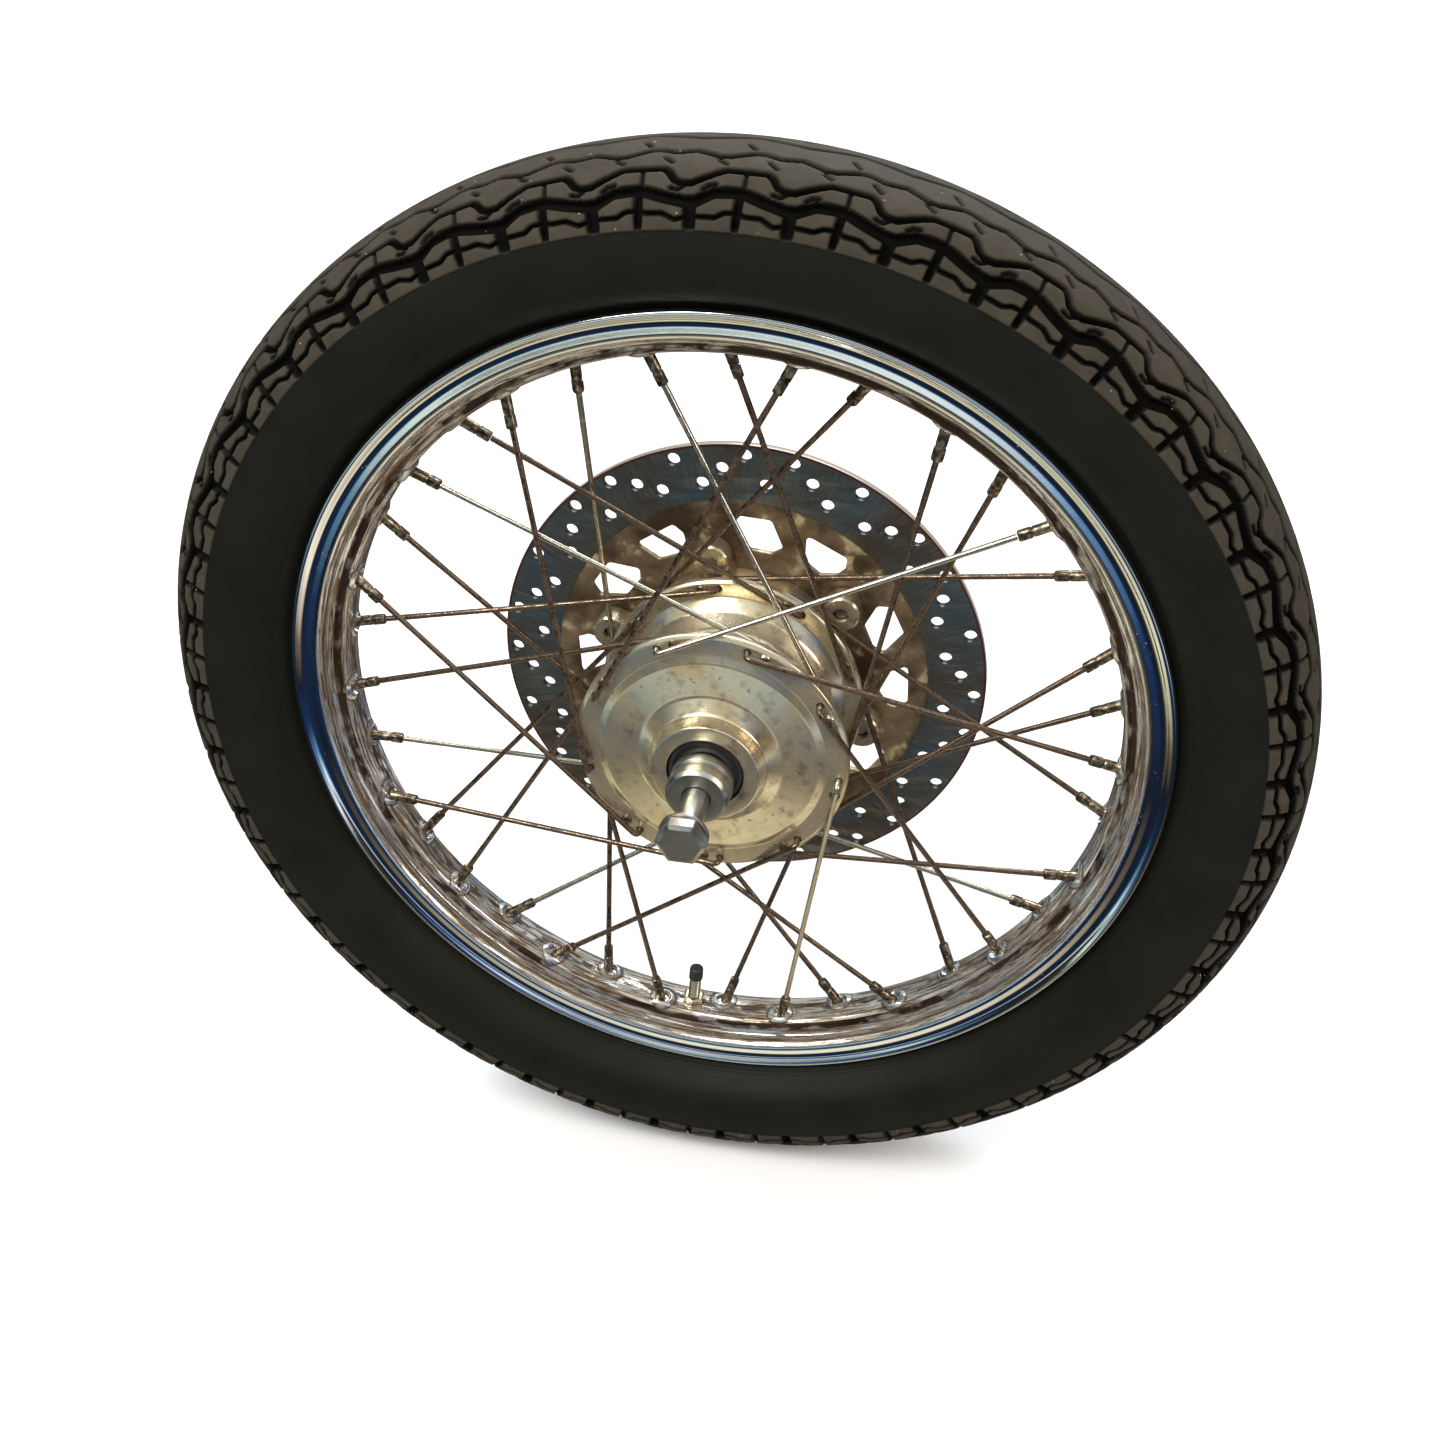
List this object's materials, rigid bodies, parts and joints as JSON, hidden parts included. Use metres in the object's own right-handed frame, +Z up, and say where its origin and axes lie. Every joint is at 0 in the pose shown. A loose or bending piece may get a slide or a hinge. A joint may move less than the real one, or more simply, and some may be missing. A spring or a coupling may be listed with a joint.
{
  "type": "motorcycle front wheel",
  "caption": "Wire-spoked motorcycle front wheel with tubed tyre, chromed rim, cast hub, drilled brake disc, bearings and axle; it spins on its axle.",
  "frame": {"origin": "centre of the wheel, on the axle's centreline and in the middle plane of the rim", "axes": "+Y along the axle towards the brake disc, +Z up, +X towards the front of the motorcycle"},
  "size_m": [0.6254, 0.224, 0.6254],
  "materials": {
    "tyre_rubber": "black rubber, smooth flanks, moulded grooves in the tread",
    "tube_rubber": "smooth black butyl",
    "rim_chrome": "bright chrome plate",
    "spoke_steel": "dulled steel with rust staining",
    "hub_aluminium": "polished casting, tarnished",
    "disc_steel": "ground stainless track, stained carrier",
    "zinc_steel": "zinc plate, worn",
    "bearing_steel": "ground bearing steel",
    "cage_brass": "stamped cage",
    "seal_rubber": "moulded nitrile lip seal"
  },
  "bodies": {
    "axle_assembly": {"axle": "zinc_steel", "axle_nut": "zinc_steel", "bearing_spacer": "zinc_steel", "bearing_inner_left": "bearing_steel", "bearing_inner_right": "bearing_steel", "collar_left": "zinc_steel", "collar_right": "zinc_steel"},
    "wheel": {"spoke_01": "spoke_steel", "spoke_02": "spoke_steel", "spoke_03": "spoke_steel", "spoke_04": "spoke_steel", "spoke_05": "spoke_steel", "spoke_06": "spoke_steel", "spoke_07": "spoke_steel", "spoke_08": "spoke_steel", "spoke_09": "spoke_steel", "spoke_10": "spoke_steel", "spoke_11": "spoke_steel", "spoke_12": "spoke_steel", "spoke_13": "spoke_steel", "spoke_14": "spoke_steel", "spoke_15": "spoke_steel", "spoke_16": "spoke_steel", "spoke_17": "spoke_steel", "spoke_18": "spoke_steel", "spoke_19": "spoke_steel", "spoke_20": "spoke_steel", "spoke_21": "spoke_steel", "spoke_22": "spoke_steel", "spoke_23": "spoke_steel", "spoke_24": "spoke_steel", "spoke_25": "spoke_steel", "spoke_26": "spoke_steel", "spoke_27": "spoke_steel", "spoke_28": "spoke_steel", "spoke_29": "spoke_steel", "spoke_30": "spoke_steel", "spoke_31": "spoke_steel", "spoke_32": "spoke_steel", "spoke_33": "spoke_steel", "spoke_34": "spoke_steel", "spoke_35": "spoke_steel", "spoke_36": "spoke_steel", "disc_bolt_1": "zinc_steel", "disc_bolt_2": "zinc_steel", "disc_bolt_3": "zinc_steel", "disc_bolt_4": "zinc_steel", "disc_bolt_5": "zinc_steel", "disc_bolt_6": "zinc_steel", "tyre": "tyre_rubber", "inner_tube": "tube_rubber", "rim": "rim_chrome", "hub": "hub_aluminium", "brake_disc": "disc_steel", "bearing_outer_left": "bearing_steel", "bearing_outer_right": "bearing_steel", "dust_seal_left": "seal_rubber", "dust_seal_right": "seal_rubber"},
    "ball_cage_left": {"ball_cage_left": "cage_brass"},
    "ball_cage_right": {"ball_cage_right": "cage_brass"}
  },
  "joints": [
    {"name": "wheel_spin", "type": "hinge", "parent": "axle_assembly", "child": "wheel", "pos_m": [0, 0, 0], "axis": [0, 1, 0], "continuous": true},
    {"name": "left_cage_spin", "type": "hinge", "parent": "axle_assembly", "child": "ball_cage_left", "pos_m": [0, 0.0365, 0], "axis": [0, 1, 0], "continuous": true},
    {"name": "right_cage_spin", "type": "hinge", "parent": "axle_assembly", "child": "ball_cage_right", "pos_m": [0, -0.0365, 0], "axis": [0, 1, 0], "continuous": true}
  ],
  "couplings": [
    {"joint": "left_cage_spin", "follows": "wheel_spin", "ratio": 0.6224},
    {"joint": "right_cage_spin", "follows": "wheel_spin", "ratio": 0.6224}
  ]
}
